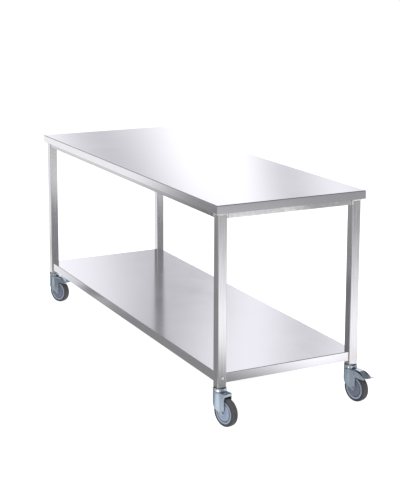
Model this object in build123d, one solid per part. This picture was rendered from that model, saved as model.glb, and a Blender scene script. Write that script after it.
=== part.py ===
from build123d import *
import math
import os

# Mobile stainless work table: a folded worktop on a welded square-tube frame, a lower shelf
# and four swivel casters, two of them (on one diagonal) with a brake pedal.
# Millimetres, +Z up, floor at z = 0. The long side faces -Y (front), the right end is +X.

# How far a cut runs past the face that it opens.
PAST = 1.0

# ---- table ----
TABLE_LENGTH = 2000.0
TABLE_DEPTH = 700.0
TABLE_HEIGHT = 913.0
# The casters are parked trailing past the right end, so the middle of the whole outline,
# which is the frame's origin, lies this far from the middle of the worktop.
TABLE_CENTRE = (-45.0, -3.5)

# ---- worktop ----
SKIN_T = 1.5
EDGE_DROP = 35.0
EDGE_LIP = 12.0
EDGE_BEND_R = 3.0
CORE_T = 18.0
CORE_GAP = 2.0

# ---- legs ----
TUBE_T = 1.5
TUBE_CORNER_R = 3.0
LEG_SIDE = 40.0
LEG_INSET = 14.0
CASTER_HEIGHT = 158.0
LEG_TOP = TABLE_HEIGHT - SKIN_T - CORE_T
LEG_X = TABLE_LENGTH / 2 - LEG_INSET - LEG_SIDE / 2
LEG_Y = TABLE_DEPTH / 2 - LEG_INSET - LEG_SIDE / 2

# ---- top rails ----
RAIL_H = 40.0
RAIL_W = 25.0
RAIL_RECESS = 3.0
RAIL_Z = LEG_TOP - RAIL_H
FIXING_END_MARGIN = 110.0
FIXINGS_LONG = 4
FIXINGS_SHORT = 2
SCREW_R = 2.5
SCREW_HEAD_R = 5.0
SCREW_HEAD_H = 3.0
SCREW_HEAD_ROUND = 1.8
SCREW_BITE = 13.0
SCREW_CLEAR = 0.15
ACCESS_HOLE_R = 6.5

# ---- shelf ----
SHELF_TOP = 215.0
SHELF_T = 1.2
SHELF_DROP = 40.0
SHELF_LIP = 14.0
SHELF_RECESS = 5.0
SHELF_BEND_R = 2.4
SHELF_LEG_GAP = 0.4
STIFFENER_PITCH = 300.0
STIFFENER_H = 25.0
STIFFENER_TOP_W = 50.0
STIFFENER_FLANGE = 14.0
STIFFENER_END_GAP = 24.0

# ---- leg inserts and swivel heads ----
INSERT_FLANGE_T = 2.5
INSERT_DEPTH = 42.0
INSERT_FIT = 0.3
INSERT_FLANGE_SIDE = 39.0
STEM_R = 6.0
STEM_TOP = 193.0
STEM_HEAD_R = 11.0
STEM_HEAD_T = 4.5
STEM_HEAD_ROUND = 1.5
STEM_TIP_BEVEL = 1.0
CUP_R = 28.0
CUP_TOP_R = 23.5
CUP_HUB_R = 14.0
CUP_RIM_T = 2.2
CUP_GROOVE_H = 6.5
CUP_GAP = 2.6
BALL_R = 2.5
BALL_RING_R = 20.0
BALLS_PER_HEAD = 12

# ---- caster forks, in a caster's own frame: swivel axis at x = 0, wheel trailing to +x ----
WHEEL_R = 59.0
TRAIL = 39.0
FORK_TOP = 139.0
FORK_T = 2.5
FORK_CROWN_T = 3.0
FORK_HALF_W = 21.5
FORK_NOSE_R = 27.5
FORK_PINCH = 22.0
FORK_PINCH_R = 25.0
FORK_CROWN_R = 4.0
FORK_NOSE_LOW = 104.0
FORK_NOSE_MIDDLE = (-4.0, 75.0)
FORK_TAIL_FLANGE = 13.0
FORK_TAIL_R = 4.0
FORK_BOSS_R = 10.5
FORK_BOSS_TURN = 55.0
FORK_CROWN_TAIL = 40.0
HORN_TIP = (102.0, 115.5)
HORN_TIP_R = 5.0
HORN_TIP_SET = 1.5
HORN_UNDER = 111.0
HORN_TOP_MIDDLE = (74.0, 134.0)
FORK_HOLE_R = 2.5
FORK_HOLE = (41.0, 125.0)

# ---- axle ----
AXLE_R = 4.0
AXLE_FIT = 0.1
HEX_AF = 13.0
HEX_CHAMFER = 0.7
BOLT_HEAD_T = 5.3
NUT_T = 7.0
NUT_DOME_R = 5.0
NUT_DOME_H = 1.5
SLEEVE_R = 6.0

# ---- wheel ----
TYRE_HALF_W = 15.5
TYRE_LIP = (0.6, 0.3)
TYRE_FLANK = 5.0
TYRE_SHOULDER = (3.2, 1.1)
TREAD_HALF_W = 11.0
TREAD_CROWN = 0.9
RIM_R = 46.5
RIM_SEAT_R = 43.5
RIM_INNER_R = 39.0
RIM_HALF_W = 14.6
RIM_LIP = 1.6
RIM_SEAT_STEP = 4.0
RIM_DRAFT = 2.0
WEB_HALF_W = 4.0
HUB_R = 16.0
HUB_HALF_W = 12.2
HUB_BORE_GAP = 1.0
BEARING_R = 11.0
BEARING_W = 7.0
GUARD_R = 35.0
GUARD_FACE = 15.2
GUARD_T = 2.0
GUARD_BOSS_R = 13.0
GUARD_BOSS_SLOPE = 2.0
GUARD_EDGE = 0.6
RUN_GAP = 0.3

# ---- brake pedal ----
PEDAL_T = 2.5
PEDAL_W = 26.0
PEDAL_LIP_W = 37.0
PEDAL_FLARE = (107.0, 112.0)
PEDAL_LINE = [(44.0, 142.0), (68.0, 139.5), (97.0, 117.0), (124.0, 125.0)]
PEDAL_BEND_R = 1.1
PEDAL_CORNER_R = 4.0
PIVOT = (80.0, 122.5)
PIVOT_R = 3.0
PIVOT_FIT = 0.08
EAR_R = 4.8
EAR_REACH = 9.0
EAR_T = 2.5
SHOE_HALF_W = 9.0
SHOE_GAP = 3.2
SHOE_SPAN = (47.0, 56.0)
SHOE_LEAN = 1.8
SPRING_T = 0.8
SPRING_W = 12.0
SPRING_LINE = [(47.5, 139.7), (64.0, 137.9), (70.8, 128.4), (73.4, 126.8)]
SPRING_BEND_R = 0.3

# ---- where each caster stands and which way it trails (degrees from +X towards +Y) ----
CASTERS = {
    "front_right": {"side": (1, -1), "angle": 13.5, "braked": False},
    "back_right": {"side": (1, 1), "angle": 11.0, "braked": True},
    "front_left": {"side": (-1, -1), "angle": 25.0, "braked": True},
    "back_left": {"side": (-1, 1), "angle": 16.0, "braked": False},
}


def box_between(low, high):
    """A box given by its lowest and highest corners."""
    size = [b - a for a, b in zip(low, high)]
    middle = [(a + b) / 2 for a, b in zip(low, high)]
    return Pos(*middle) * Box(*size)


def upright(radius, z_low, z_high, x=0.0, y=0.0):
    """A vertical round bar between two heights."""
    bar = Cylinder(radius, z_high - z_low, align=(Align.CENTER, Align.CENTER, Align.MIN))
    return Pos(x, y, z_low) * bar


def crosswise(radius, y_low, y_high, x=0.0, z=0.0):
    """A round bar along Y between two offsets."""
    return Pos(x, (y_low + y_high) / 2, z) * Rot(90, 0, 0) * Cylinder(radius, y_high - y_low)


def group(solids):
    return Compound(list(solids))


def signs():
    return [(sx, sy) for sx in (-1, 1) for sy in (-1, 1)]


def leg_spots():
    return [(sx * LEG_X, sy * LEG_Y) for sx, sy in signs()]


def tube_block(length, width, height, wall, corner):
    """A square or rectangular tube along X, centred on the origin."""
    profile = RectangleRounded(width, height, corner)
    profile -= RectangleRounded(width - 2 * wall, height - 2 * wall, corner - wall)
    return extrude(Plane.YZ * profile, length / 2, both=True)


def folded_pan(length, depth, top, drop, wall, lip, bend):
    """A sheet with its edges folded down and a return lip, open underneath."""
    floor = top - drop
    body = box_between((-length / 2, -depth / 2, floor), (length / 2, depth / 2, top))
    body = fillet(body.faces().sort_by(Axis.Z)[-1].edges(), bend)
    hollow_x, hollow_y = length / 2 - wall, depth / 2 - wall
    hollow = box_between((-hollow_x, -hollow_y, floor + wall), (hollow_x, hollow_y, top - wall))
    body -= fillet(hollow.faces().sort_by(Axis.Z)[-1].edges(), bend - wall)
    mouth_x, mouth_y = hollow_x - lip, hollow_y - lip
    body -= box_between((-mouth_x, -mouth_y, floor - wall), (mouth_x, mouth_y, top - drop / 2))
    return body


# ---- worktop and frame ----

def worktop_skin():
    return folded_pan(
        TABLE_LENGTH, TABLE_DEPTH, TABLE_HEIGHT, EDGE_DROP, SKIN_T, EDGE_LIP, EDGE_BEND_R
    )


def fixing_spots():
    """Where screws go up through the top rails into the worktop's core."""
    rail_y = LEG_Y + LEG_SIDE / 2 - RAIL_RECESS - RAIL_W / 2
    rail_x = LEG_X + LEG_SIDE / 2 - RAIL_RECESS - RAIL_W / 2
    long_reach = LEG_X - FIXING_END_MARGIN
    short_reach = LEG_Y - FIXING_END_MARGIN
    spots = []
    for side in (-1, 1):
        for i in range(FIXINGS_LONG):
            along = -long_reach + 2 * long_reach * i / (FIXINGS_LONG - 1)
            spots.append((along, side * rail_y))
        for i in range(FIXINGS_SHORT):
            along = -short_reach + 2 * short_reach * i / (FIXINGS_SHORT - 1)
            spots.append((side * rail_x, along))
    return spots


def worktop_core():
    x = TABLE_LENGTH / 2 - SKIN_T - CORE_GAP
    y = TABLE_DEPTH / 2 - SKIN_T - CORE_GAP
    board = box_between((-x, -y, LEG_TOP), (x, y, LEG_TOP + CORE_T))
    pilots = [
        upright(SCREW_R + SCREW_CLEAR, LEG_TOP, LEG_TOP + SCREW_BITE + PAST, *spot)
        for spot in fixing_spots()
    ]
    return board - pilots


def top_rail(length, centre, turn):
    """One rail, with a driver hole in its lower wall and a screw hole in its upper wall."""
    rail = Pos(*centre, RAIL_Z + RAIL_H / 2) * Rot(0, 0, turn) * tube_block(
        length, RAIL_W, RAIL_H, TUBE_T, TUBE_CORNER_R
    )
    holes = []
    for spot in fixing_spots():
        holes.append(upright(ACCESS_HOLE_R, RAIL_Z - PAST, RAIL_Z + TUBE_T + PAST, *spot))
        low, high = LEG_TOP - TUBE_T - PAST, LEG_TOP + PAST
        holes.append(upright(SCREW_R + SCREW_CLEAR, low, high, *spot))
    return rail - holes


def top_rails():
    rail_y = LEG_Y + LEG_SIDE / 2 - RAIL_RECESS - RAIL_W / 2
    rail_x = LEG_X + LEG_SIDE / 2 - RAIL_RECESS - RAIL_W / 2
    long_rail = 2 * LEG_X - LEG_SIDE
    short_rail = 2 * LEG_Y - LEG_SIDE
    return {
        "top_rail_front": top_rail(long_rail, (0, -rail_y), 0),
        "top_rail_back": top_rail(long_rail, (0, rail_y), 0),
        "top_rail_left": top_rail(short_rail, (-rail_x, 0), 90),
        "top_rail_right": top_rail(short_rail, (rail_x, 0), 90),
    }


def top_fixing_screws():
    under = LEG_TOP - TUBE_T
    screws = []
    for spot in fixing_spots():
        head = upright(SCREW_HEAD_R, under - SCREW_HEAD_H, under, *spot)
        head = fillet(head.faces().sort_by(Axis.Z)[0].edges(), SCREW_HEAD_ROUND)
        screws.append(head + upright(SCREW_R, under, LEG_TOP + SCREW_BITE, *spot))
    return group(screws)


def leg(spot):
    tube = tube_block(LEG_TOP - CASTER_HEIGHT, LEG_SIDE, LEG_SIDE, TUBE_T, TUBE_CORNER_R)
    return Pos(*spot, (LEG_TOP + CASTER_HEIGHT) / 2) * Rot(0, 90, 0) * tube


# ---- shelf ----

def shelf_pan():
    reach_x = LEG_X + LEG_SIDE / 2 - SHELF_RECESS
    reach_y = LEG_Y + LEG_SIDE / 2 - SHELF_RECESS
    pan = folded_pan(
        2 * reach_x, 2 * reach_y, SHELF_TOP, SHELF_DROP, SHELF_T, SHELF_LIP, SHELF_BEND_R
    )
    notch = LEG_SIDE / 2 + SHELF_LEG_GAP
    cuts = []
    for x, y in leg_spots():
        low = (x - notch, y - notch, SHELF_TOP - SHELF_DROP - PAST)
        high = (x + notch, y + notch, SHELF_TOP + PAST)
        cuts.append(box_between(low, high))
    return pan - cuts


def shelf_stiffeners():
    """Two hat channels that run the length of the shelf, against its underside."""
    top = SHELF_TOP - SHELF_T
    half = STIFFENER_TOP_W / 2
    wing = half + STIFFENER_FLANGE
    low = top - STIFFENER_H
    outer = [(-wing, top), (-half, top), (-half, low + SHELF_T), (half, low + SHELF_T)]
    outer += [(half, top), (wing, top), (wing, top - SHELF_T), (half + SHELF_T, top - SHELF_T)]
    outer += [(half + SHELF_T, low), (-half - SHELF_T, low)]
    outer += [(-half - SHELF_T, top - SHELF_T), (-wing, top - SHELF_T)]
    profile = make_face(Polyline(*outer, close=True))
    length = 2 * (LEG_X + LEG_SIDE / 2 - SHELF_RECESS - STIFFENER_END_GAP)
    channel = extrude(Plane.YZ * profile, length / 2, both=True)
    return group(Pos(0, side * STIFFENER_PITCH / 2, 0) * channel for side in (-1, 1))


# ---- swivel heads ----

def leg_insert(spot):
    """A square plug in the leg's open end, with the bore that takes the caster's stem."""
    side = LEG_SIDE - 2 * TUBE_T - INSERT_FIT
    plug = extrude(RectangleRounded(side, side, TUBE_CORNER_R - TUBE_T), INSERT_DEPTH)
    flange = extrude(
        RectangleRounded(INSERT_FLANGE_SIDE, INSERT_FLANGE_SIDE, TUBE_CORNER_R), INSERT_FLANGE_T
    )
    body = Pos(0, 0, CASTER_HEIGHT) * plug + Pos(0, 0, CASTER_HEIGHT - INSERT_FLANGE_T) * flange
    body -= upright(STEM_R + AXLE_FIT, CASTER_HEIGHT - INSERT_DEPTH, STEM_TOP + PAST)
    return Pos(*spot, 0) * body


def stem_bolt(spot):
    """The king bolt: its head is under the fork's crown, and its stem is in the leg insert."""
    head_top = FORK_TOP - FORK_CROWN_T - RUN_GAP
    head = upright(STEM_HEAD_R, head_top - STEM_HEAD_T, head_top)
    head = fillet(head.faces().sort_by(Axis.Z)[0].edges(), STEM_HEAD_ROUND)
    shank = upright(STEM_R, head_top, STEM_TOP)
    shank = chamfer(shank.faces().sort_by(Axis.Z)[-1].edges(), STEM_TIP_BEVEL)
    return Pos(*spot, 0) * (head + shank)


def swivel_cup(spot):
    """The fixed upper race: a dished cap with a ball groove underneath."""
    top = CASTER_HEIGHT - INSERT_FLANGE_T
    rim = FORK_TOP + CUP_GAP
    groove_top = FORK_TOP + CUP_GROOVE_H
    hub_low = FORK_TOP + RUN_GAP
    bore = STEM_R + AXLE_FIT
    shoulder = top - (CUP_R - CUP_TOP_R)
    outline = [
        Line((bore, hub_low), (CUP_HUB_R, hub_low)),
        Line((CUP_HUB_R, hub_low), (CUP_HUB_R, groove_top)),
        Line((CUP_HUB_R, groove_top), (CUP_R - CUP_RIM_T, groove_top)),
        Line((CUP_R - CUP_RIM_T, groove_top), (CUP_R - CUP_RIM_T, rim)),
        Line((CUP_R - CUP_RIM_T, rim), (CUP_R, rim)),
        Line((CUP_R, rim), (CUP_R, shoulder)),
        RadiusArc((CUP_R, shoulder), (CUP_TOP_R, top), -(CUP_R - CUP_TOP_R)),
        Line((CUP_TOP_R, top), (bore, top)),
        Line((bore, top), (bore, hub_low)),
    ]
    cup = revolve(Plane.XZ * make_face(outline), Axis.Z)
    return Pos(*spot, 0) * cup


def swivel_ball_ring(spot):
    height = FORK_TOP + 2 * RUN_GAP + BALL_R
    ring = []
    for i in range(BALLS_PER_HEAD):
        turn = 2 * math.pi * i / BALLS_PER_HEAD
        x = spot[0] + BALL_RING_R * math.cos(turn)
        y = spot[1] + BALL_RING_R * math.sin(turn)
        ring.append(Pos(x, y, height) * Sphere(BALL_R))
    return ring


# ---- caster fork ----

def fork_side(braked):
    """The fork seen from the side, as a face that reaches past its nose and crown."""
    over = FORK_TOP + PAST
    front = -FORK_NOSE_R - PAST

    def boss(turn):
        """A point on the round end at the axle, by its angle from straight down."""
        lean = math.radians(turn)
        return TRAIL + FORK_BOSS_R * math.sin(lean), WHEEL_R - FORK_BOSS_R * math.cos(lean)

    boss_end = boss(90)
    edges = [
        Line((front, over), (front, FORK_NOSE_LOW)),
        ThreePointArc((front, FORK_NOSE_LOW), FORK_NOSE_MIDDLE, boss(-FORK_BOSS_TURN)),
        ThreePointArc(boss(-FORK_BOSS_TURN), boss(0), boss_end),
    ]
    if not braked:
        tail = boss_end[0]
        bend_low, bend_top = (tail, FORK_TOP - FORK_TAIL_R), (tail - FORK_TAIL_R, FORK_TOP)
        edges += [
            Line(boss_end, bend_low),
            RadiusArc(bend_low, bend_top, -FORK_TAIL_R),
            Line(bend_top, (bend_top[0], over)),
            Line((bend_top[0], over), (front, over)),
        ]
        return make_face(edges)
    tip_x, tip_z = HORN_TIP
    tip_top = (tip_x - HORN_TIP_SET, tip_z + HORN_TIP_R)
    tip_low = (tip_x - HORN_TIP_R, HORN_UNDER)
    notch = (boss_end[0], HORN_UNDER)
    crown_end = (FORK_CROWN_TAIL, FORK_TOP)
    edges += [
        Line(boss_end, notch),
        Line(notch, tip_low),
        ThreePointArc(tip_low, (tip_x, tip_z), tip_top),
        ThreePointArc(tip_top, HORN_TOP_MIDDLE, crown_end),
        Line(crown_end, (crown_end[0], over)),
        Line((crown_end[0], over), (front, over)),
    ]
    return make_face(edges)


def fork_plan(inset):
    """The fork seen from above: a round nose, pinched in to straight sides, open at the tail."""
    nose = FORK_NOSE_R - inset
    half = FORK_HALF_W - inset
    tail = HORN_TIP[0] + 2 * FORK_HALF_W
    reach = math.hypot(FORK_PINCH, half)
    touch = math.atan2(half, FORK_PINCH) + math.acos(nose / reach)
    touch_x, touch_y = nose * math.cos(touch), nose * math.sin(touch)
    edges = [ThreePointArc((touch_x, -touch_y), (-nose, 0), (touch_x, touch_y))]
    edges.append(Line((tail, -half), (tail, half)))
    for side in (-1, 1):
        flank = [(touch_x, side * touch_y), (FORK_PINCH, side * half), (tail, side * half)]
        edges += FilletPolyline(*flank, radius=FORK_PINCH_R).edges()
    return make_face(edges)


def fork(braked):
    low = WHEEL_R - 2 * FORK_BOSS_R
    body = Pos(0, 0, low) * extrude(fork_plan(0), FORK_TOP - low)
    body = fillet(body.faces().sort_by(Axis.Z)[-1].edges(), FORK_CROWN_R)
    crown_under = FORK_TOP - FORK_CROWN_T
    body -= Pos(0, 0, low - PAST) * extrude(fork_plan(FORK_T), crown_under - low + PAST)
    body = body & extrude(Plane.XZ * fork_side(braked), 2 * FORK_HALF_W, both=True)
    inner = FORK_HALF_W - FORK_T
    across = FORK_HALF_W + PAST
    if braked:
        far = HORN_TIP[0] + FORK_HALF_W
        body -= box_between(
            (FORK_CROWN_TAIL, -inner, crown_under - PAST), (far, inner, FORK_TOP + PAST)
        )
        body -= crosswise(FORK_HOLE_R, -across, across, *FORK_HOLE)
        body -= crosswise(PIVOT_R + PIVOT_FIT, -across, across, *PIVOT)
    else:
        tail = TRAIL + FORK_BOSS_R
        body += box_between(
            (tail - FORK_T, -inner, FORK_TOP - FORK_TAIL_FLANGE), (tail, inner, crown_under)
        )
    body -= upright(STEM_R + RUN_GAP, crown_under - PAST, FORK_TOP + PAST)
    return body - crosswise(AXLE_R + AXLE_FIT, -across, across, TRAIL, WHEEL_R)


# ---- axle and wheel ----

def hexagon(thickness, y_face, outward):
    """A hexagonal prism across the axle, standing on a face at y_face."""
    prism = extrude(RegularPolygon(HEX_AF / 2, 6, major_radius=False), thickness)
    prism = chamfer(prism.faces().sort_by(Axis.Z)[-1].edges(), HEX_CHAMFER)
    turn = 90 if outward < 0 else -90
    return Pos(TRAIL, y_face, WHEEL_R) * Rot(turn, 0, 0) * prism


def axle_bolt():
    reach = FORK_HALF_W + NUT_T - NUT_DOME_H
    shank = crosswise(AXLE_R, -FORK_HALF_W, reach, TRAIL, WHEEL_R)
    return shank + hexagon(BOLT_HEAD_T, -FORK_HALF_W, -1)


def axle_nut():
    nut = hexagon(NUT_T, FORK_HALF_W, 1)
    collar_end = FORK_HALF_W + NUT_T + NUT_DOME_H
    nut += crosswise(NUT_DOME_R, FORK_HALF_W + NUT_T, collar_end, TRAIL, WHEEL_R)
    bore = crosswise(AXLE_R + AXLE_FIT, FORK_HALF_W - PAST, collar_end + PAST, TRAIL, WHEEL_R)
    return nut - bore


def axle_sleeve():
    inner = FORK_HALF_W - FORK_T
    tube = crosswise(SLEEVE_R, -inner, inner, TRAIL, WHEEL_R)
    return tube - crosswise(AXLE_R + AXLE_FIT, -inner - PAST, inner + PAST, TRAIL, WHEEL_R)


def spun(profile):
    """A profile of (radius, offset along the axle), turned about the axle."""
    return Pos(TRAIL, 0, WHEEL_R) * revolve(profile, Axis.Y)


def spun_ring(inner_r, outer_r, low, high):
    ring = Pos((inner_r + outer_r) / 2, (low + high) / 2) * Rectangle(outer_r - inner_r, high - low)
    return spun(ring)


def thread_guard(side):
    """A fixed disc that covers the wheel's hub, with a boss against the fork's plate."""
    bore = SLEEVE_R + AXLE_FIT
    inner = FORK_HALF_W - FORK_T
    face = GUARD_FACE
    back = face - GUARD_T
    outline = [(bore, back), (GUARD_R, back), (GUARD_R, face - GUARD_EDGE)]
    outline += [(GUARD_R - GUARD_EDGE, face), (GUARD_BOSS_R + GUARD_BOSS_SLOPE, face)]
    outline += [(GUARD_BOSS_R, inner), (bore, inner)]
    points = [(r, side * y) for r, y in outline]
    return spun(make_face(Polyline(*points, close=True)))


def wheel_core():
    """Rim, web and hub in one moulding, with a bearing seat in each end of the hub."""
    half = [(BEARING_R, HUB_HALF_W), (HUB_R, HUB_HALF_W), (HUB_R, WEB_HALF_W)]
    half += [(RIM_INNER_R - RIM_DRAFT, WEB_HALF_W), (RIM_INNER_R, RIM_HALF_W), (RIM_R, RIM_HALF_W)]
    half += [(RIM_R, RIM_HALF_W - RIM_LIP), (RIM_SEAT_R, RIM_HALF_W - RIM_SEAT_STEP)]
    seat = HUB_HALF_W - BEARING_W
    bore = SLEEVE_R + HUB_BORE_GAP
    outline = [(bore, seat), (BEARING_R, seat)] + half
    mirrored = [(r, -y) for r, y in reversed(outline)]
    return spun(make_face(Polyline(*outline, *mirrored, close=True)))


def tyre():
    """The tread: two flat-flanked shoulders and a shallow crown, moulded on the rim."""
    crown = WHEEL_R - TREAD_CROWN
    flank = (RIM_R + TYRE_FLANK, TYRE_HALF_W)

    def flip(point):
        return (point[0], -point[1])

    low = (RIM_R, RIM_HALF_W - RIM_LIP)
    seat = (RIM_SEAT_R, RIM_HALF_W - RIM_SEAT_STEP)
    lip = (RIM_R + TYRE_LIP[0], RIM_HALF_W + TYRE_LIP[1])
    shoulder = (crown, TREAD_HALF_W)
    round_mid = (WHEEL_R - TYRE_SHOULDER[0], TYRE_HALF_W - TYRE_SHOULDER[1])
    edges = [
        Line(flip(seat), seat),
        Line(seat, low),
        Line(low, lip),
        Line(lip, flank),
        ThreePointArc(flank, round_mid, shoulder),
        ThreePointArc(shoulder, (WHEEL_R, 0), flip(shoulder)),
        ThreePointArc(flip(shoulder), flip(round_mid), flip(flank)),
        Line(flip(flank), flip(lip)),
        Line(flip(lip), flip(low)),
        Line(flip(low), flip(seat)),
    ]
    return spun(make_face(edges))


def wheel_bearings():
    inner = SLEEVE_R + RUN_GAP
    seat = HUB_HALF_W - BEARING_W
    rings = [spun_ring(inner, BEARING_R, seat, HUB_HALF_W)]
    rings.append(spun_ring(inner, BEARING_R, -HUB_HALF_W, -seat))
    return group(rings)


# ---- brake ----

def strip(points, thickness, width, bend):
    """A bent strip of sheet: its middle line lies in the XZ plane, its width along Y."""
    upper, lower = [], []
    for i, (x, z) in enumerate(points):
        before = points[max(i - 1, 0)]
        after = points[min(i + 1, len(points) - 1)]
        ways = []
        if i > 0:
            ways.append(math.atan2(z - before[1], x - before[0]))
        if i < len(points) - 1:
            ways.append(math.atan2(after[1] - z, after[0] - x))
        middle = sum(ways) / len(ways)
        reach = thickness / 2 / math.cos((ways[-1] - ways[0]) / 2)
        upper.append((x - reach * math.sin(middle), z + reach * math.cos(middle)))
        lower.append((x + reach * math.sin(middle), z - reach * math.cos(middle)))
    outline = FilletPolyline(*upper, *reversed(lower), radius=bend, close=True)
    return extrude(Plane.XZ * make_face(outline), width / 2, both=True)


def pedal_slope(x):
    """Height of the middle of the pedal's sloping plate."""
    (x_a, z_a), (x_b, z_b) = PEDAL_LINE[1:3]
    return z_a + (z_b - z_a) * (x - x_a) / (x_b - x_a)


def brake_ear(low, high):
    """A cheek of the pedal, from the sloping plate down round the pivot."""
    x, z = PIVOT
    top = [(x + step, pedal_slope(x + step)) for step in (-EAR_REACH, EAR_REACH)]
    cheek = make_face(Polyline(*top, (x + EAR_R, z), (x - EAR_R, z), close=True))
    cheek += Pos(x, z) * Circle(EAR_R)
    return Pos(0, high, 0) * extrude(Plane.XZ * cheek, high - low)


def brake_shoe():
    """The block under the pedal that comes down on the tread."""
    face_r = WHEEL_R + SHOE_GAP
    foot = []
    for turn in SHOE_SPAN:
        lift = math.radians(turn)
        foot.append((TRAIL + face_r * math.cos(lift), WHEEL_R + face_r * math.sin(lift)))
    top = [(x + SHOE_LEAN, pedal_slope(x + SHOE_LEAN)) for x, z in foot]
    face = make_face(Polyline(*foot, *reversed(top), close=True))
    return extrude(Plane.XZ * face, SHOE_HALF_W, both=True)


def pedal_plan():
    """The pedal from above: parallel sides that flare to a wider lip with rounded corners."""
    half, lip = PEDAL_W / 2, PEDAL_LIP_W / 2
    start, tip = PEDAL_LINE[0][0] - PEDAL_T, PEDAL_LINE[-1][0]
    side = [(start, half), (PEDAL_FLARE[0], half), (PEDAL_FLARE[1], lip), (tip, lip)]
    corners = side + [(x, -y) for x, y in reversed(side)]
    bends = [0, PEDAL_CORNER_R, PEDAL_CORNER_R, PEDAL_CORNER_R]
    return make_face(FilletPolyline(*corners, radius=bends + bends[::-1], close=True))


def brake_pedal():
    half = PEDAL_W / 2
    plate = strip(PEDAL_LINE, PEDAL_T, PEDAL_LIP_W, PEDAL_BEND_R)
    pedal = plate & (Pos(0, 0, WHEEL_R) * extrude(pedal_plan(), FORK_TOP))
    pedal += brake_ear(half - EAR_T, half) + brake_ear(-half, EAR_T - half)
    pedal += brake_shoe()
    return pedal - crosswise(PIVOT_R + PIVOT_FIT, -PEDAL_W, PEDAL_W, *PIVOT)


def brake_pin():
    return crosswise(PIVOT_R, -FORK_HALF_W, FORK_HALF_W, *PIVOT)


def brake_spring():
    return strip(SPRING_LINE, SPRING_T, SPRING_W, SPRING_BEND_R)


# ---- assembly ----

def caster_spot(caster):
    return caster["side"][0] * LEG_X, caster["side"][1] * LEG_Y


def caster_parts(braked):
    """The sub-parts of one caster that turn with its swivel, in the caster's own frame."""
    parts = {
        "fork": fork(braked),
        "axle_bolt": axle_bolt(),
        "axle_nut": axle_nut(),
        "axle_sleeve": axle_sleeve(),
        "thread_guards": group([thread_guard(-1), thread_guard(1)]),
        "wheel_core": wheel_core(),
        "tyre": tyre(),
        "wheel_bearings": wheel_bearings(),
    }
    if braked:
        parts["brake_pedal"] = brake_pedal()
        parts["brake_pin"] = brake_pin()
        parts["brake_spring"] = brake_spring()
    return parts


def all_nodes():
    """Every node's shape, in the table's own frame."""
    spots = leg_spots()
    nodes = {"worktop_skin": worktop_skin(), "worktop_core": worktop_core()}
    nodes.update(top_rails())
    nodes["top_fixing_screws"] = top_fixing_screws()
    nodes["shelf_pan"] = shelf_pan()
    nodes["shelf_stiffeners"] = shelf_stiffeners()
    nodes["leg_inserts"] = group(leg_insert(spot) for spot in spots)
    nodes["stem_bolts"] = group(stem_bolt(spot) for spot in spots)
    nodes["swivel_cups"] = group(swivel_cup(spot) for spot in spots)
    nodes["swivel_balls"] = group(ball for spot in spots for ball in swivel_ball_ring(spot))
    kinds = {braked: caster_parts(braked) for braked in (False, True)}
    for name, caster in CASTERS.items():
        spot = caster_spot(caster)
        nodes["leg_" + name] = leg(spot)
        place = Pos(*spot, 0) * Rot(0, 0, caster["angle"])
        for part, shape in kinds[caster["braked"]].items():
            nodes[part + "_" + name] = place * shape
    return nodes


def main():
    os.makedirs("parts", exist_ok=True)
    for name, shape in all_nodes().items():
        export_step(Pos(*TABLE_CENTRE, 0) * shape, "parts/" + name + ".step")


if __name__ == "__main__":
    main()
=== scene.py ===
import math

import bmesh
import bpy
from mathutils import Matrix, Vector


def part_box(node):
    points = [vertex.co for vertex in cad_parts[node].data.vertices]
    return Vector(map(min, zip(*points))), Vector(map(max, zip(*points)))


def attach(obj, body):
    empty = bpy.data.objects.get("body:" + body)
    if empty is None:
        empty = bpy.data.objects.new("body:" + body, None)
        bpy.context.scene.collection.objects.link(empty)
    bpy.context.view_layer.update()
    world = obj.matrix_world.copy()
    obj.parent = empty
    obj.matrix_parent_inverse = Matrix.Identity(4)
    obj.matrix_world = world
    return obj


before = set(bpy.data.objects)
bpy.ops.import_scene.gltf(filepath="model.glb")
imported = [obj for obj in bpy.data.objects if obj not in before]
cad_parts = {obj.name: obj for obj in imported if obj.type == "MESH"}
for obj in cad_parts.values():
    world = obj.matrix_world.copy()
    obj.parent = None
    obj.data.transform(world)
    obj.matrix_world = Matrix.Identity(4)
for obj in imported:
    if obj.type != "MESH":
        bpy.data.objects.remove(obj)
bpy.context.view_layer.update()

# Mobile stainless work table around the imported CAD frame. Metres, +Z up, floor at z = 0.
# The long side faces -Y and the right end is +X.

SKIN_LOW, SKIN_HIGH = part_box("worktop_skin")
TOP_CENTRE = Vector(((SKIN_LOW.x + SKIN_HIGH.x) / 2, (SKIN_LOW.y + SKIN_HIGH.y) / 2, SKIN_HIGH.z))
CASTERS = ("front_right", "back_right", "front_left", "back_left")

# ---- camera ----

CAMERA_FROM_TOP = Vector((5.0667, -2.4971, 0.9987))
CAMERA_AZIMUTH = 63.976
CAMERA_PITCH = 9.59
CAMERA_LENS = 86.56
CAMERA_SENSOR = 36.0
CAMERA_SHIFT = (0.04, -0.20)
CAMERA_REACH = 100.0


def make_camera():
    camera = bpy.data.cameras.new("camera")
    camera.lens = CAMERA_LENS
    camera.sensor_width = CAMERA_SENSOR
    camera.shift_x, camera.shift_y = CAMERA_SHIFT
    camera.clip_end = CAMERA_REACH
    holder = bpy.data.objects.new("camera", camera)
    bpy.context.scene.collection.objects.link(holder)
    holder.location = TOP_CENTRE + CAMERA_FROM_TOP
    holder.rotation_euler = (math.radians(90.0 - CAMERA_PITCH), 0.0, math.radians(CAMERA_AZIMUTH))
    bpy.context.scene.camera = holder


# ---- node helpers ----

EVEN = (1.0, 1.0, 1.0)
WHITE = (1.0, 1.0, 1.0, 1.0)
# Sockets of a Mix node that carry colours: the two that go in and the one that comes out.
MIX_COLOURS = (6, 7)
MIX_RESULT = 2
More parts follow.
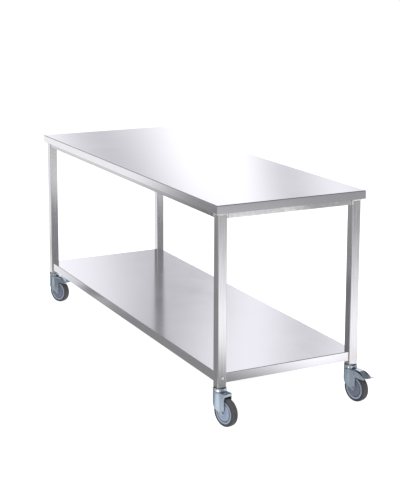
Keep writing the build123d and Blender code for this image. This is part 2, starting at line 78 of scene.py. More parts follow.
# Detail and roughness of the noise.
SOFT_DETAIL = 2.0
GRAIN_DETAIL = 3.0
SPECKLE_DETAIL = 4.0
NOISE_ROUGHNESS = 0.6
# The middle part of a noise's range, where nearly all of it lies.
NOISE_LOW = 0.3
NOISE_HIGH = 0.7


def new_material(name):
    """A new node material and its shader."""
    material = bpy.data.materials.new(name)
    material.use_nodes = True
    shader = material.node_tree.nodes["Principled BSDF"]
    return material, shader


def node(tree, kind, **values):
    """A node with its settings and input values; keys of inputs start with in_."""
    made = tree.nodes.new(kind)
    for key, value in values.items():
        if key.startswith("in_"):
            made.inputs[key[3:].replace("_", " ")].default_value = value
        else:
            setattr(made, key, value)
    return made


def math_node(tree, operation, *values):
    """A Math node; each value is a number or a socket to link."""
    made = node(tree, "ShaderNodeMath", operation=operation)
    for i, value in enumerate(values):
        if isinstance(value, (int, float)):
            made.inputs[i].default_value = value
        else:
            tree.links.new(value, made.inputs[i])
    return made.outputs[0]


def times(tree, value, *others):
    """The product of values."""
    for other in others:
        value = math_node(tree, "MULTIPLY", value, other)
    return value


def reduced(tree, value, *parts):
    """A value less the product of the parts."""
    return math_node(tree, "SUBTRACT", value, times(tree, *parts))


def split_axes(tree, vector):
    """The X, Y and Z sockets of a vector."""
    split = node(tree, "ShaderNodeSeparateXYZ")
    tree.links.new(vector, split.inputs[0])
    return split.outputs


def grain(tree, stretch, scale, detail=GRAIN_DETAIL):
    """Noise stretched along an axis: stretch is the mapping's scale on X, Y and Z."""
    place = node(tree, "ShaderNodeTexCoord")
    spread = node(tree, "ShaderNodeMapping", in_Scale=stretch)
    noise = node(
        tree, "ShaderNodeTexNoise", in_Scale=scale, in_Detail=detail, in_Roughness=NOISE_ROUGHNESS
    )
    tree.links.new(place.outputs["Object"], spread.inputs["Vector"])
    tree.links.new(spread.outputs["Vector"], noise.inputs["Vector"])
    return noise.outputs["Fac"]


def change_range(tree, value, numbers, **settings):
    """A Map Range node; the numbers are from low, from high, to low and to high."""
    change = node(tree, "ShaderNodeMapRange", **settings)
    for name, number in zip(("From Min", "From Max", "To Min", "To Max"), numbers):
        change.inputs[name].default_value = number
    tree.links.new(value, change.inputs["Value"])
    return change.outputs["Result"]


def remap(tree, value, low, high, from_low=NOISE_LOW, from_high=NOISE_HIGH):
    """A value from a noise, carried to another range."""
    return change_range(tree, value, (from_low, from_high, low, high))


def ramp(tree, value, low, high, at_low=0.0, at_high=1.0):
    """A smooth step from one level to another between two values."""
    return change_range(tree, value, (low, high, at_low, at_high), interpolation_type="SMOOTHSTEP")


def mixed(tree, factor, first, second):
    """A colour between two, by a factor; each is a plain colour or a socket."""
    mix = node(tree, "ShaderNodeMix", data_type="RGBA")
    tree.links.new(factor, mix.inputs[0])
    for socket, colour in zip(MIX_COLOURS, (first, second)):
        if isinstance(colour, tuple):
            mix.inputs[socket].default_value = (*colour, 1.0)
        else:
            tree.links.new(colour, mix.inputs[socket])
    return mix.outputs[MIX_RESULT]


def raise_grain(tree, shader, height, distance, strength):
    bump = node(tree, "ShaderNodeBump", in_Strength=strength, in_Distance=distance)
    tree.links.new(height, bump.inputs["Height"])
    tree.links.new(bump.outputs["Normal"], shader.inputs["Normal"])


def dress(tree, shader, colour, tone, roughness):
    """Links a colour, and a roughness that follows a tone between two values."""
    tree.links.new(colour, shader.inputs["Base Color"])
    tree.links.new(remap(tree, tone, *roughness), shader.inputs["Roughness"])


# ---- materials ----

# Brushed steel: how the fine grain and the streaks are drawn out, the scales of grain, streaks
# and clouds, and the shares of grain and clouds in the tone.
FINE_STRETCH = 0.012
STREAK_STRETCH = 0.04
FINE_SCALE = 700.0
STREAK_SCALE = 150.0
CLOUD_SCALE = 5.0
FINE_SHARE = 0.3
CLOUD_SHARE = 0.3
BRUSHED_BUMP = (0.00005, 0.2)
# Each: name, axis of the grain, dark and light colour, roughness, share of streaks.
BRUSHED = {
    "top": ("steel_worktop", "X", (0.77, 0.765, 0.79), (0.83, 0.825, 0.85), (0.08, 0.14), 0.2),
    "tube_x": ("steel_grain_x", "X", (0.62, 0.615, 0.625), (0.78, 0.775, 0.785), (0.1, 0.18), 0.5),
    # rail_x is the brushed steel of tube_x made darker: painted shade from the worktop's lip over
    # the front and back rails.
    "rail_x": ("steel_rail_x", "X", (0.5, 0.495, 0.505), (0.64, 0.635, 0.645), (0.12, 0.2), 0.5),
    "tube_z": ("steel_grain_z", "Z", (0.62, 0.615, 0.625), (0.82, 0.815, 0.825), (0.15, 0.25), 0.5),
    "shelf": ("steel_shelf", "X", (0.73, 0.725, 0.75), (0.81, 0.805, 0.83), (0.1, 0.18), 0.2),
}

# Ground steel: name, dark and light colour, roughness; its scratches and speckle; how much of
# the light colour it reaches; where along Y the grinding ends, and how much darker the rest is.
GROUND = ("steel_ground", (0.5, 0.495, 0.5), (1.0, 0.99, 1.0), (0.28, 0.42))
GROUND_METALLIC = 0.75
SCRATCH_STRETCH = (1.0, 0.15, 1.0)
SCRATCH_SCALE = 320.0
SPECKLE_SCALE = 70.0
SCRATCH_SHARE = 0.4
SPECKLE_SHARE = 0.6
GROUND_REACH = (0.0, 1.0, 0.1, 0.65)
DRESSED_END = (-0.02, 0.12)
DRESSED_STEP = 0.38
GROUND_BUMP = (0.00008, 0.3)

# Plating: scale of the mottle. Each: name, dark and light colour, roughness, how metallic.
MOTTLE_SCALE = 40.0
PLATED_BUMP = (0.00002, 0.05)
PLATED = {
    "fork": ("zinc_fork", (0.5, 0.59, 0.68), (0.54, 0.64, 0.73), (0.16, 0.22), 0.95),
    "bright": ("zinc_bright", (0.6, 0.68, 0.76), (0.7, 0.78, 0.85), (0.12, 0.2), 0.85),
    "cup": ("chrome_cup", (0.6, 0.68, 0.76), (0.7, 0.77, 0.84), (0.05, 0.1), 0.97),
    "fastener": ("zinc_fastener", (0.5, 0.53, 0.56), (0.66, 0.68, 0.7), (0.25, 0.4), 1.0),
    "bearing": ("bearing_steel", (0.4, 0.4, 0.41), (0.55, 0.55, 0.57), (0.2, 0.35), 1.0),
    "spring": ("spring_steel", (0.2, 0.21, 0.24), (0.3, 0.31, 0.34), (0.3, 0.45), 1.0),
    "weld": ("weld_bead", (0.82, 0.81, 0.8), (1.0, 0.99, 0.97), (0.3, 0.45), 0.7),
    "heat_tint": ("heat_tint", (0.42, 0.3, 0.22), (0.62, 0.53, 0.47), (0.3, 0.45), 1.0),
}

# Plastic and rubber: scales of the matt grain and of the slow change of tone.
MATT_SCALE = 900.0
SLOW_SCALE = 30.0
MATT_BUMP = (0.00008, 0.25)
# Each: name, dark and light colour, roughness.
MOULDED = {
    "black": ("nylon_black", (0.025, 0.024, 0.027), (0.045, 0.044, 0.048), (0.4, 0.55)),
    "grey": ("plastic_blue_grey", (0.2, 0.245, 0.33), (0.26, 0.31, 0.4), (0.42, 0.52)),
    # A darker copy of the blue-grey plastic: painted shade, for the guards of the casters that sit
    # in the table's shadow.
    "shaded_grey": ("plastic_blue_grey_painted_shade", (0.105, 0.12, 0.16), (0.135, 0.15, 0.2), (0.42, 0.52)),
}
# The tyre's darker side wall and its paler tread, and how squarely a surface looks along
# the axle where one gives way to the other.
TYRE_NAME = "rubber_dark_grey"
TYRE_WALL = ((0.026, 0.029, 0.034), (0.04, 0.044, 0.05))
TYRE_TREAD = ((0.05, 0.047, 0.051), (0.085, 0.08, 0.085))
TYRE_ROUGHNESS = (0.45, 0.6)
WALL_FACING = (0.35, 0.7)

FLAKE_SCALE = 260.0
FLAKE_COLOURS = ((0.44, 0.39, 0.32), (0.27, 0.235, 0.185))
FLAKE_ROUGHNESS = 0.85
FLAKE_BUMP = (0.0004, 0.5)


def brushed_steel(name, axis, dark, light, roughness, streaks):
    """Stainless steel: a fine grain along one axis, streaks along it, and slow clouds of tone."""
    material, shader = new_material(name)
    tree = material.node_tree
    shader.inputs["Metallic"].default_value = 1.0
    stretch = list(EVEN)
    stretch["XYZ".index(axis)] = FINE_STRETCH
    fine = grain(tree, stretch, FINE_SCALE)
    stretch["XYZ".index(axis)] = STREAK_STRETCH
    layers = [
        (fine, FINE_SHARE), (grain(tree, stretch, STREAK_SCALE), streaks),
        (grain(tree, EVEN, CLOUD_SCALE, SOFT_DETAIL), CLOUD_SHARE),
    ]
    tone = math_node(tree, "SUBTRACT", 0.5, 0.5 * sum(share for layer, share in layers))
    for layer, share in layers:
        tone = math_node(tree, "MULTIPLY_ADD", layer, share, tone)
    dress(tree, shader, mixed(tree, remap(tree, tone, 0.0, 1.0), dark, light), tone, roughness)
    raise_grain(tree, shader, fine, *BRUSHED_BUMP)
    return material


def ground_steel(name, dark, light, roughness):
    """Stainless steel dressed with a grinder along Y: scratches, a speckle, duller at the back."""
    material, shader = new_material(name)
    tree = material.node_tree
    shader.inputs["Metallic"].default_value = GROUND_METALLIC
    scratches = grain(tree, SCRATCH_STRETCH, SCRATCH_SCALE)
    speckle = grain(tree, EVEN, SPECKLE_SCALE, SPECKLE_DETAIL)
    tone = times(tree, scratches, SCRATCH_SHARE)
    tone = math_node(tree, "MULTIPLY_ADD", speckle, SPECKLE_SHARE, tone)
    place = split_axes(tree, node(tree, "ShaderNodeTexCoord").outputs["Object"])
    tone = reduced(tree, tone, ramp(tree, place["Y"], *DRESSED_END), DRESSED_STEP)
    share = remap(tree, tone, *GROUND_REACH)
    dress(tree, shader, mixed(tree, share, dark, light), tone, roughness)
    raise_grain(tree, shader, scratches, *GROUND_BUMP)
    return material


def plated(name, dark, light, roughness, metallic):
    """Zinc or chrome plating with a faint mottle."""
    material, shader = new_material(name)
    tree = material.node_tree
    shader.inputs["Metallic"].default_value = metallic
    mottle = grain(tree, EVEN, MOTTLE_SCALE, SOFT_DETAIL)
    dress(tree, shader, mixed(tree, mottle, dark, light), mottle, roughness)
    raise_grain(tree, shader, mottle, *PLATED_BUMP)
    return material


def moulded(name, dark, light, roughness):
    """Moulded plastic with a fine matt grain."""
    material, shader = new_material(name)
    tree = material.node_tree
    slow = grain(tree, EVEN, SLOW_SCALE, SOFT_DETAIL)
    dress(tree, shader, mixed(tree, slow, dark, light), slow, roughness)
    raise_grain(tree, shader, grain(tree, EVEN, MATT_SCALE, SOFT_DETAIL), *MATT_BUMP)
    return material


def tyre_rubber():
    """Rubber whose side wall and tread are told apart by where the surface looks."""
    material, shader = new_material(TYRE_NAME)
    tree = material.node_tree
    slow = grain(tree, EVEN, SLOW_SCALE, SOFT_DETAIL)
    facing = split_axes(tree, node(tree, "ShaderNodeTexCoord").outputs["Normal"])
    wall = ramp(tree, math_node(tree, "ABSOLUTE", facing["Y"]), *WALL_FACING)
    colour = mixed(tree, wall, mixed(tree, slow, *TYRE_TREAD), mixed(tree, slow, *TYRE_WALL))
    dress(tree, shader, colour, slow, TYRE_ROUGHNESS)
    raise_grain(tree, shader, grain(tree, EVEN, MATT_SCALE, SOFT_DETAIL), *MATT_BUMP)
    return material


def chipboard():
    material, shader = new_material("chipboard")
    tree = material.node_tree
    flakes = node(tree, "ShaderNodeTexVoronoi", in_Scale=FLAKE_SCALE)
    place = node(tree, "ShaderNodeTexCoord")
    tree.links.new(place.outputs["Object"], flakes.inputs["Vector"])
    spread = flakes.outputs["Distance"]
    tree.links.new(mixed(tree, spread, *FLAKE_COLOURS), shader.inputs["Base Color"])
    shader.inputs["Roughness"].default_value = FLAKE_ROUGHNESS
    raise_grain(tree, shader, spread, *FLAKE_BUMP)
    return material


def make_materials():
    made = {"rail": ground_steel(*GROUND), "tyre": tyre_rubber(), "board": chipboard()}
    for maker, table in ((brushed_steel, BRUSHED), (plated, PLATED), (moulded, MOULDED)):
        for key, values in table.items():
            made[key] = maker(*values)
    return made


# The material of each node, by its name or by its name without its caster.
FINISH = {
    "worktop_skin": "top", "worktop_core": "board", "top_fixing_screws": "fastener",
    # the front and back rails take the darker rail_x steel: painted shade from the worktop's lip
    "top_rail_front": "rail_x", "top_rail_back": "rail_x",
    "top_rail_left": "rail", "top_rail_right": "rail",
    "shelf_pan": "shelf", "shelf_stiffeners": "tube_x", "leg_inserts": "black",
    "stem_bolts": "fastener", "swivel_cups": "cup", "swivel_balls": "bearing",
    "leg": "tube_z", "fork": "fork", "axle_bolt": "fastener", "axle_nut": "fastener",
    "axle_sleeve": "bearing", "thread_guards": "grey", "wheel_core": "grey", "tyre": "tyre",
    "wheel_bearings": "bearing", "brake_pedal": "bright", "brake_pin": "bearing",
    "brake_spring": "spring",
    # the braked casters' guards take a darker copy of the blue-grey plastic: painted shade of the
    # table over them
    "thread_guards_back_right": "shaded_grey", "thread_guards_front_left": "shaded_grey",
}


def paint_nodes(materials):
    """Gives every CAD node its material."""
    for name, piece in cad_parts.items():
        family = name
        for caster in CASTERS:
            family = family.removesuffix("_" + caster)
        material = materials[FINISH.get(name, FINISH.get(family))]
        for slot in piece.material_slots:
            slot.material = material


# ---- welds ----

BEAD_SIDES = 12
# A bead's ripples: their pitch, their depth, and how many sections each has. Its ends taper.
RIPPLE_STEP = 0.0024
RIPPLE_DEPTH = 0.09
RIPPLE_SECTIONS = 4
TAPER_POWER = 12
TAPER_LEAST = 0.04
LIP_BEAD_R = 0.0042
RAIL_BEAD_R = 0.0022
SHELF_BEAD_R = 0.0016
# How far the lip's bead stands outside the leg and hangs below the lip, as shares of its radius.
LIP_BEAD_OUT = 0.35
LIP_BEAD_DOWN = 0.4
# Gaps at the ends of the rail's bead and of the shelf's bead.
RAIL_BEAD_GAP = 0.001
SHELF_BEAD_GAPS = (0.002, 0.003)
# The heat tint: its thickness, its gap under the lip's bead, its height there, its gap at the
# leg's corners, its width beside the rail's bead and its gap above the rail's bottom.
TINT_T = 0.0002
LIP_TINT_GAP = 0.0002
LIP_TINT_H = 0.0024
LIP_TINT_INSET = 0.004
RAIL_TINT_W = 0.006
RAIL_TINT_GAP = 0.003
# The dressed spot on one leg's outer face: radius, rise, place beside the leg's middle, rings.
SPOT_R = 0.0055
SPOT_RISE = 0.0007
SPOT_ASIDE = 0.003
SPOT_LEG = "front_right"
SPOT_RINGS = (1.0, 0.85, 0.6, 0.3)
SPOT_SIDES = 2 * BEAD_SIDES


def finish_piece(name, build, material):
    """A new mesh piece on the table's body, with the frame's material slot."""
    maker = bmesh.new()
    build(maker)
    bmesh.ops.recalc_face_normals(maker, faces=maker.faces)
    for face in maker.faces:
        face.smooth = True
    mesh = bpy.data.meshes.new(name)
    maker.to_mesh(mesh)
    maker.free()
    mesh.materials.append(material)
    piece = bpy.data.objects.new(name, mesh)
    bpy.context.scene.collection.objects.link(piece)
    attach(piece, "table")


def bridge(maker, rings):
    """Faces between each ring of points and the next."""
    for ring, after in zip(rings, rings[1:]):
        for k in range(len(ring)):
            following = (k + 1) % len(ring)
            maker.faces.new((ring[k], ring[following], after[following], after[k]))


def bead(start, end, radius):
    """Makes a rippled weld bead between two points."""
    start, end = Vector(start), Vector(end)
    run = end - start
    across = run.normalized().orthogonal()
    over = run.normalized().cross(across)
    steps = max(RIPPLE_SECTIONS, round(run.length / (RIPPLE_STEP / RIPPLE_SECTIONS)))

    def build(maker):
        rings = []
        for i in range(steps + 1):
            share = i / steps
            ripple = 1.0 + RIPPLE_DEPTH * math.sin(share * run.length / RIPPLE_STEP * math.tau)
            taper = math.sqrt(max(TAPER_LEAST, 1.0 - (2.0 * share - 1.0) ** TAPER_POWER))
            size = radius * ripple * taper
            ring = []
            for k in range(BEAD_SIDES):
                turn = math.tau * k / BEAD_SIDES
                spoke = across * math.cos(turn) + over * math.sin(turn)
                ring.append(maker.verts.new(start + run * share + spoke * size))
            rings.append(ring)
        bridge(maker, rings)
        maker.faces.new(rings[0])
        maker.faces.new(rings[-1])
    return build


def thin_block(low, high):
    """Makes a thin block between two corners."""
    def build(maker):
        made = bmesh.ops.create_cube(maker, size=1.0)["verts"]
        middle = [(a + b) / 2 for a, b in zip(low, high)]
        size = [abs(b - a) for a, b in zip(low, high)]
        for vert in made:
            vert.co = Vector([m + c * d for m, c, d in zip(middle, vert.co, size)])
    return build


def dressed_spot(centre):
    """Makes a low round spot on a face that looks along +X."""
    def build(maker):
        rings = []
        for ring_share in SPOT_RINGS:
            rise = SPOT_RISE * math.sqrt(1.0 - ring_share ** 2)
            ring = []
            for k in range(SPOT_SIDES):
                turn = math.tau * k / SPOT_SIDES
                ring.append(maker.verts.new((
                    centre[0] + rise,
                    centre[1] + SPOT_R * ring_share * math.cos(turn),
                    centre[2] + SPOT_R * ring_share * math.sin(turn),
                )))
            rings.append(ring)
        bridge(maker, rings)
        maker.faces.new(rings[-1])
    return build


def outer_inner(low, high, side):
    """The two ends of a span in order, the one on the table's outside first."""
    return (high, low) if side > 0 else (low, high)


def lip_welds(low, high, outer, out):
    """Beads and tint where a leg's two outer faces meet the worktop's lip."""
    bead_z = SKIN_LOW.z - LIP_BEAD_R * LIP_BEAD_DOWN
    bead_x, bead_y = (outer[i] + out[i] * LIP_BEAD_R * LIP_BEAD_OUT for i in (0, 1))
    top = bead_z - LIP_BEAD_R - LIP_TINT_GAP
    bottom = top - LIP_TINT_H
    return [
        ("weld_lip_x", bead((bead_x, low.y, bead_z), (bead_x, high.y, bead_z), LIP_BEAD_R), "weld"),
        ("weld_lip_y", bead((low.x, bead_y, bead_z), (high.x, bead_y, bead_z), LIP_BEAD_R), "weld"),
        ("tint_lip_x", thin_block(
            (outer[0], low.y + LIP_TINT_INSET, bottom),
            (outer[0] + out[0] * TINT_T, high.y - LIP_TINT_INSET, top),
        ), "heat_tint"),
        ("tint_lip_y", thin_block(
            (low.x + LIP_TINT_INSET, outer[1], bottom),
            (high.x - LIP_TINT_INSET, outer[1] + out[1] * TINT_T, top),
        ), "heat_tint"),
    ]


def rail_welds(rail_x, rail_y, bottom, inner, out):
    """Beads and tint where a leg's two inner corners meet the rails' outer faces."""
    top = SKIN_LOW.z
    start = bottom + RAIL_BEAD_GAP
    tint = bottom + RAIL_TINT_GAP
    leg_x, leg_y = inner
    tint_far = (leg_x - out[0] * RAIL_TINT_W, rail_y + out[1] * TINT_T, top)
    end_tint_far = (rail_x + out[0] * TINT_T, leg_y - out[1] * RAIL_TINT_W, top)
    return [
        ("weld_rail", bead((leg_x, rail_y, start), (leg_x, rail_y, top), RAIL_BEAD_R), "weld"),
        ("weld_end_rail", bead((rail_x, leg_y, start), (rail_x, leg_y, top), RAIL_BEAD_R), "weld"),
        ("tint_rail", thin_block((leg_x, rail_y, tint), tint_far), "heat_tint"),
        ("tint_end_rail", thin_block((rail_x, leg_y, tint), end_tint_far), "heat_tint"),
    ]


def shelf_welds(low, high, inner, out):
    """Beads where a leg's two inner corners meet the shelf's edges."""
    shelf_x = outer_inner(low.x, high.x, out[0])[0]
    shelf_y = outer_inner(low.y, high.y, out[1])[0]
    bottom, top = low.z + SHELF_BEAD_GAPS[0], high.z - SHELF_BEAD_GAPS[1]
    return [
        (name, bead((x, y, bottom), (x, y, top), SHELF_BEAD_R), "heat_tint")
        for name, x, y in (("weld_shelf_x", shelf_x, inner[1]), ("weld_shelf_y", inner[0], shelf_y))
    ]


def leg_welds(caster):
    """The welds of one leg: the name, the maker and the material of each."""
    low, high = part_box("leg_" + caster)
    y_side, x_side = caster.split("_")
    out = (1 if x_side == "right" else -1, 1 if y_side == "back" else -1)
    outer_x, inner_x = outer_inner(low.x, high.x, out[0])
    outer_y, inner_y = outer_inner(low.y, high.y, out[1])
    rail_low, rail_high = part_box("top_rail_" + y_side)
    end_low, end_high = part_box("top_rail_" + x_side)
    shelf_low, shelf_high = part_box("shelf_pan")
    rail_y = outer_inner(rail_low.y, rail_high.y, out[1])[0]
    rail_x = outer_inner(end_low.x, end_high.x, out[0])[0]
    inner = (inner_x, inner_y)
    welds = lip_welds(low, high, (outer_x, outer_y), out)
    welds += rail_welds(rail_x, rail_y, rail_low.z, inner, out)
    return welds + shelf_welds(shelf_low, shelf_high, inner, out)


def make_welds(materials):
    """Weld beads and heat tint where each leg meets the worktop's lip, the rails and the shelf."""
    for caster in CASTERS:
        for name, build, finish in leg_welds(caster):
            finish_piece(name + "_" + caster, build, materials[finish])
    low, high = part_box("leg_" + SPOT_LEG)
    shelf_low, shelf_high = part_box("shelf_pan")
    spot = (high.x, (low.y + high.y) / 2 + SPOT_ASIDE, (shelf_low.z + shelf_high.z) / 2)
    finish_piece("weld_spot_" + SPOT_LEG, dressed_spot(spot), materials["weld"])


# ---- world ----

# Azimuths and elevations are in degrees, azimuth from +X through the back, which is +Y. A ramp
# is four numbers: where it starts, where it ends, its level before and its level after.

# Azimuths are counted from here round to 300, so that no ramp below meets the seam.
SEAM = -60.0
# The white backdrop, behind and to the left of the table.
BACKDROP_LIGHT = 1.3
BACKDROP_RIGHT = (110.0, 141.0, 0.0, 1.0)
BACKDROP_LEFT = (161.0, 168.0, 1.0, 0.0)
BACKDROP_TOP = (28.0, 37.0, 1.0, 0.0)
# The backdrop's soft grey strips, each: azimuth at STRIP_BASE, half width, lean per degree of
# elevation up to the knee, lean back above it, depth.
STRIPS = [(157.3, 4.0, 0.5, 0.35, 0.66), (148.8, 2.6, 0.16, 0.0, 0.55), (142.5, 7.0, 0.0, 0.0, 0.5)]
STRIP_BASE = 10.0
STRIP_KNEE = 16.0
# Higher up the strips are paler, over a wide haze: its depth by elevation, its azimuth and half
# width, and how much of a strip is left.
HAZE = (12.0, 15.0, 0.0, 0.28)
HAZE_SPOT = (155.0, 8.0)
STRIP_LEFT_OVER = (12.0, 15.0, 1.0, 0.58)
# Soft patches on it, each: azimuth and half width, elevation and half height, depth.
PATCHES = [
    (152.2, 3.0, 15.0, 3.0, 0.36), (147.6, 3.2, 18.5, 3.0, 0.28),
    (155.3, 2.0, 8.5, 1.3, 0.16), (148.2, 1.5, 10.4, 1.0, -0.15),
]
# Around it: the level right and left of it, and how that fades overhead.
SKY_SIDES = (161.0, 168.0, 0.36, 0.24)
SKY_TOP = (19.0, 32.0, 1.0, 0.08)
# Lighter low on the left, by azimuth and by elevation, and straight behind, by azimuth.
LOW_LEFT = (170.0, 177.0, 0.0, 0.4)
LOW_LEFT_TOP = (8.0, 16.0, 1.0, 0.0)
LOW_BACK = (42.0, 64.0, 0.0, 0.32)
# The soft box overhead, by elevation.
OVERHEAD = (66.0, 75.0, 0.0, 0.95)
# The bright wall in front of the table: where it fades in, where it fades out, and its top.
WALL_START = (212.0, 230.0, 0.0, 0.85)
WALL_END = (-40.0, -18.0, 0.85, 0.0)
WALL_TOP = (28.0, 50.0, 1.0, 0.45)
# The dark line at the horizon, which draws the far edges of the sheets.
HORIZON = (1.0, 4.5, 0.2, 1.0)
LEAST_LIGHT = 0.02
WORLD_COLOUR = (0.96, 0.953, 1.0, 1.0)


def hump(tree, value, centre, reach):
    """1 at a centre, falling smoothly to 0 at a reach either side."""
    away = math_node(tree, "ABSOLUTE", math_node(tree, "SUBTRACT", value, centre))
    return ramp(tree, away, 0.0, reach, 1.0, 0.0)


def sky_light(tree, azimuth, elevation):
    """The level of everything round the backdrop."""
    overhead = ramp(tree, elevation, *SKY_TOP)
    sky = times(tree, ramp(tree, azimuth, *SKY_SIDES), overhead)
    low_left = times(tree, ramp(tree, azimuth, *LOW_LEFT), ramp(tree, elevation, *LOW_LEFT_TOP))
    low_back = times(
        tree, ramp(tree, azimuth, *LOW_BACK), ramp(tree, azimuth, *BACKDROP_LEFT), overhead
    )
    for more in (low_left, low_back):
        sky = math_node(tree, "ADD", sky, more)
    wall_start, wall_end = ramp(tree, azimuth, *WALL_START), ramp(tree, azimuth, *WALL_END)
    wall = math_node(tree, "MAXIMUM", wall_start, wall_end)
    wall = times(tree, wall, ramp(tree, elevation, *WALL_TOP))
    for other in (ramp(tree, elevation, *OVERHEAD), wall):
        sky = math_node(tree, "MAXIMUM", sky, other)
    return sky


def studio_light(tree, azimuth, elevation):
    """The level of the whole studio: the sky, and the backdrop with its strips and patches."""
    sheet = times(
        tree, ramp(tree, azimuth, *BACKDROP_RIGHT), ramp(tree, azimuth, *BACKDROP_LEFT),
        ramp(tree, elevation, *BACKDROP_TOP),
    )
    sky = sky_light(tree, azimuth, elevation)
    brighter = math_node(tree, "SUBTRACT", BACKDROP_LIGHT, sky)
    light = math_node(tree, "MULTIPLY_ADD", sheet, brighter, sky)
    haze = times(tree, ramp(tree, elevation, *HAZE), hump(tree, azimuth, *HAZE_SPOT))
    light = reduced(tree, light, haze, sheet)
    pale = times(tree, sheet, ramp(tree, elevation, *STRIP_LEFT_OVER))
    below = math_node(tree, "MINIMUM", elevation, STRIP_KNEE)
    below = math_node(tree, "SUBTRACT", below, STRIP_BASE)
    above = math_node(tree, "MAXIMUM", elevation, STRIP_KNEE)
    above = math_node(tree, "SUBTRACT", above, STRIP_KNEE)
    for spot, reach, lean, back_lean, depth in STRIPS:
        shifted = math_node(tree, "MULTIPLY_ADD", below, lean, azimuth)
        shifted = math_node(tree, "MULTIPLY_ADD", above, -back_lean, shifted)
        light = reduced(tree, light, hump(tree, shifted, spot, reach), pale, depth)
    for spot, reach, height, spread, depth in PATCHES:
        across, upward = hump(tree, azimuth, spot, reach), hump(tree, elevation, height, spread)
        light = reduced(tree, light, across, upward, sheet, depth)
    light = times(tree, light, ramp(tree, elevation, *HORIZON))
    return math_node(tree, "MAXIMUM", light, LEAST_LIGHT)


def make_world():
    """White to the camera; to everything else a studio with bright and dark sides."""
    world = bpy.data.worlds.new("studio")
    bpy.context.scene.world = world
    world.use_nodes = True
    tree = world.node_tree
    look = split_axes(tree, node(tree, "ShaderNodeTexCoord").outputs["Generated"])
    azimuth = math_node(tree, "DEGREES", math_node(tree, "ARCTAN2", look["Y"], look["X"]))
    past_seam = math_node(tree, "LESS_THAN", azimuth, SEAM)
    azimuth = math_node(tree, "ADD", azimuth, times(tree, past_seam, 360.0))
    elevation = math_node(tree, "DEGREES", math_node(tree, "ARCSINE", look["Z"]))
    back = tree.nodes["Background"]
    tree.links.new(studio_light(tree, azimuth, elevation), back.inputs["Strength"])
    back.inputs["Color"].default_value = WORLD_COLOUR
    plain = node(tree, "ShaderNodeBackground", in_Color=WHITE)
    ray = node(tree, "ShaderNodeLightPath")
    mix = node(tree, "ShaderNodeMixShader")
    tree.links.new(ray.outputs["Is Camera Ray"], mix.inputs[0])
    tree.links.new(back.outputs[0], mix.inputs[1])
    tree.links.new(plain.outputs[0], mix.inputs[2])
    tree.links.new(mix.outputs[0], tree.nodes["World Output"].inputs["Surface"])


# ---- floor ----

FLOOR_SIZE = 120.0
FLOOR_BASE = (0.5, 0.5, 0.5, 1.0)
FLOOR_ROUGHNESS = 0.9
FLOOR_GLOW = 0.9
# The card that only reflections see, just above the floor, and its darkest and lightest level.
CARD_SIZE = 60.0
CARD_HEIGHT = 0.0006
CARD_COLOUR = (0.985, 0.978, 1.0, 1.0)
CARD_DARK = 0.3
CARD_LIGHT = 1.05
# Its light regions, left and right, each: a direction, a start, and the distances from there
# along that direction between which the region sets in.
LEFT_EDGE = ((-0.571, 0.821), (-1.0, -0.57), (-0.3, 0.44))
RIGHT_EDGE = ((0.5, 0.866), (1.5, 0.12), (-0.28, 0.3))
# How the right one falls off along a direction.
RIGHT_RUN = (0.9, 0.75)
RIGHT_FADES = ((2.1, 4.9, 1.4, 0.35), (4.9, 6.3, 1.0, 0.25))
# The dark region behind the table: its place, inner and outer radius. How all falls off far out.
BEHIND = ((0.35, 1.15), (0.85, 1.3))
OUTER_FADE = (7.5, 11.0, 1.0, 0.1)
# Bright spots beside the casters, each: place, inner and outer radius, amount.
SPOTS = [
    ((1.05, -0.58), 0.05, 0.42, 1.05), ((1.1, -0.62), 0.02, 0.2, 2.9),
    ((1.08, 0.02), 0.02, 0.2, 1.0), ((0.84, 0.1), 0.05, 0.3, 0.22),
    ((-0.89, -0.71), 0.01, 0.12, 1.0), ((1.095, -0.055), 0.02, 0.08, 2.0),
    ((1.25, 0.52), 0.02, 0.1, 2.4), ((-0.684, -0.707), 0.01, 0.07, 2.8),
    ((-0.66, 0.046), 0.02, 0.1, 2.4),
]
# The light floor far in front of the table, towards -Y: the distances where it fades in, and its
# half width as a slope with its amount.
FRONT_DISTANCE = (1.6, 3.2, 0.0, 1.0)
FRONT_SLOPE = (0.35, 0.9, 0.75, 0.0)
LEAST_DISTANCE = 0.1
# Shades, under the table, before the left caster and further out, each: place, inner and outer
# radius, how much light is left.
SHADES = [
    ((-0.25, 0.22), 0.2, 0.5, 0.25), ((-1.08, -0.67), 0.06, 0.22, 0.45),
    ((-2.2, -0.78), 0.1, 0.5, 0.76), ((-2.35, -2.08), 0.1, 0.55, 0.8),
    ((3.95, 2.4), 0.2, 0.6, 0.78),
]


def flat_card(name, size, height):
    mesh = bpy.data.meshes.new(name)
    corners = [
        (x * size, y * size, height) for x, y in ((-1, -1), (1, -1), (1, 1), (-1, 1))
    ]
    mesh.from_pydata(corners, [], [(0, 1, 2, 3)])
    card = bpy.data.objects.new(name, mesh)
    bpy.context.scene.collection.objects.link(card)
    return card


def make_floor():
    floor = flat_card("floor", FLOOR_SIZE, 0.0)
    material, shader = new_material("floor_paper")
    shader.inputs["Base Color"].default_value = FLOOR_BASE
    shader.inputs["Roughness"].default_value = FLOOR_ROUGHNESS
    shader.inputs["Specular IOR Level"].default_value = 0.0
    shader.inputs["Emission Color"].default_value = WHITE
    shader.inputs["Emission Strength"].default_value = FLOOR_GLOW
    floor.data.materials.append(material)
    floor.visible_glossy = False


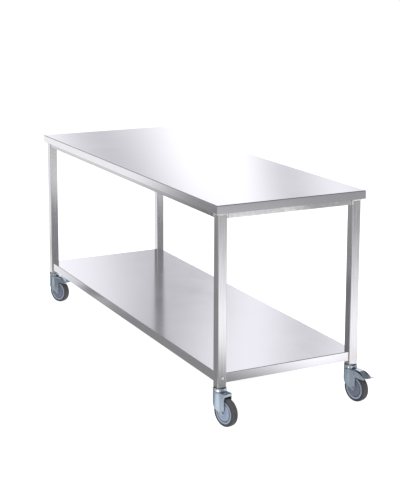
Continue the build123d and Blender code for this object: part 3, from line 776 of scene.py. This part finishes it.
def distance_along(tree, vector, direction, start=(0.0, 0.0)):
    """How far a point lies along a direction in the floor's plane, from a given point."""
    dot = node(tree, "ShaderNodeVectorMath", operation="DOT_PRODUCT")
    tree.links.new(vector, dot.inputs[0])
    dot.inputs[1].default_value = (*direction, 0.0)
    return math_node(
        tree, "SUBTRACT", dot.outputs["Value"], start[0] * direction[0] + start[1] * direction[1]
    )


def distance_to(tree, vector, spot):
    gap = node(tree, "ShaderNodeVectorMath", operation="DISTANCE")
    tree.links.new(vector, gap.inputs[0])
    gap.inputs[1].default_value = (*spot, 0.0)
    return gap.outputs["Value"]


def far_front(tree, place):
    """How much of the light floor far in front a place has."""
    axes = split_axes(tree, place)
    ahead = math_node(tree, "MULTIPLY", axes["Y"], -1.0)
    slope = math_node(tree, "DIVIDE", axes["X"], math_node(tree, "MAXIMUM", ahead, LEAST_DISTANCE))
    sector = ramp(tree, math_node(tree, "ABSOLUTE", slope), *FRONT_SLOPE)
    return times(tree, sector, ramp(tree, ahead, *FRONT_DISTANCE))


def card_light(tree, place):
    """The card's level at a place."""
    left, right = (
        ramp(tree, distance_along(tree, place, direction, start), *sets_in)
        for direction, start, sets_in in (LEFT_EDGE, RIGHT_EDGE)
    )
    for fade in RIGHT_FADES:
        right = times(tree, right, ramp(tree, distance_along(tree, place, RIGHT_RUN), *fade))
    share = math_node(tree, "MAXIMUM", left, right)
    spot, reach = BEHIND
    share = times(
        tree, share, ramp(tree, distance_to(tree, place, spot), *reach),
        ramp(tree, distance_to(tree, place, (0.0, 0.0)), *OUTER_FADE),
    )
    for spot, inner, outer, amount in SPOTS:
        patch = ramp(tree, distance_to(tree, place, spot), inner, outer, amount, 0.0)
        share = math_node(tree, "MAXIMUM", share, patch)
    share = math_node(tree, "MAXIMUM", share, far_front(tree, place))
    light = math_node(tree, "MULTIPLY_ADD", share, CARD_LIGHT - CARD_DARK, CARD_DARK)
    for spot, inner, outer, left_over in SHADES:
        shade = ramp(tree, distance_to(tree, place, spot), inner, outer, left_over, 1.0)
        light = times(tree, light, shade)
    return light


def make_card():
    """What the steel sees of the floor: light to the left and behind on the right, dark between."""
    card = flat_card("floor_bounce", CARD_SIZE, CARD_HEIGHT)
    card.visible_camera = card.visible_diffuse = card.visible_shadow = False
    card.visible_transmission = False
    material = bpy.data.materials.new("floor_bounce")
    material.use_nodes = True
    tree = material.node_tree
    tree.nodes.remove(tree.nodes["Principled BSDF"])
    place = node(tree, "ShaderNodeTexCoord").outputs["Object"]
    glow = node(tree, "ShaderNodeEmission", in_Color=CARD_COLOUR)
    tree.links.new(card_light(tree, place), glow.inputs["Strength"])
    tree.links.new(glow.outputs[0], tree.nodes["Material Output"].inputs["Surface"])
    card.data.materials.append(material)


# ---- lights ----

# Each: name, place, what it aims at, side, power.
LIGHTS = [
    ("overhead", (0.5, -0.5, 4.0), (0.0, 0.0, 0.0), 4.0, 220.0),
    ("side", (4.0, -3.0, 2.5), (0.0, 0.0, 0.5), 2.0, 60.0),
]


def make_lights():
    for name, place, aim, side, power in LIGHTS:
        lamp = bpy.data.lights.new(name, "AREA")
        lamp.shape = "RECTANGLE"
        lamp.size = lamp.size_y = side
        lamp.energy = power
        holder = bpy.data.objects.new(name, lamp)
        bpy.context.scene.collection.objects.link(holder)
        holder.location = place
        holder.rotation_euler = (Vector(aim) - Vector(place)).to_track_quat("-Z", "Y").to_euler()
        holder.visible_glossy = False


def main():
    bpy.context.scene.view_settings.view_transform = "Standard"
    make_camera()
    make_world()
    make_floor()
    make_card()
    make_lights()
    materials = make_materials()
    paint_nodes(materials)
    make_welds(materials)


main()
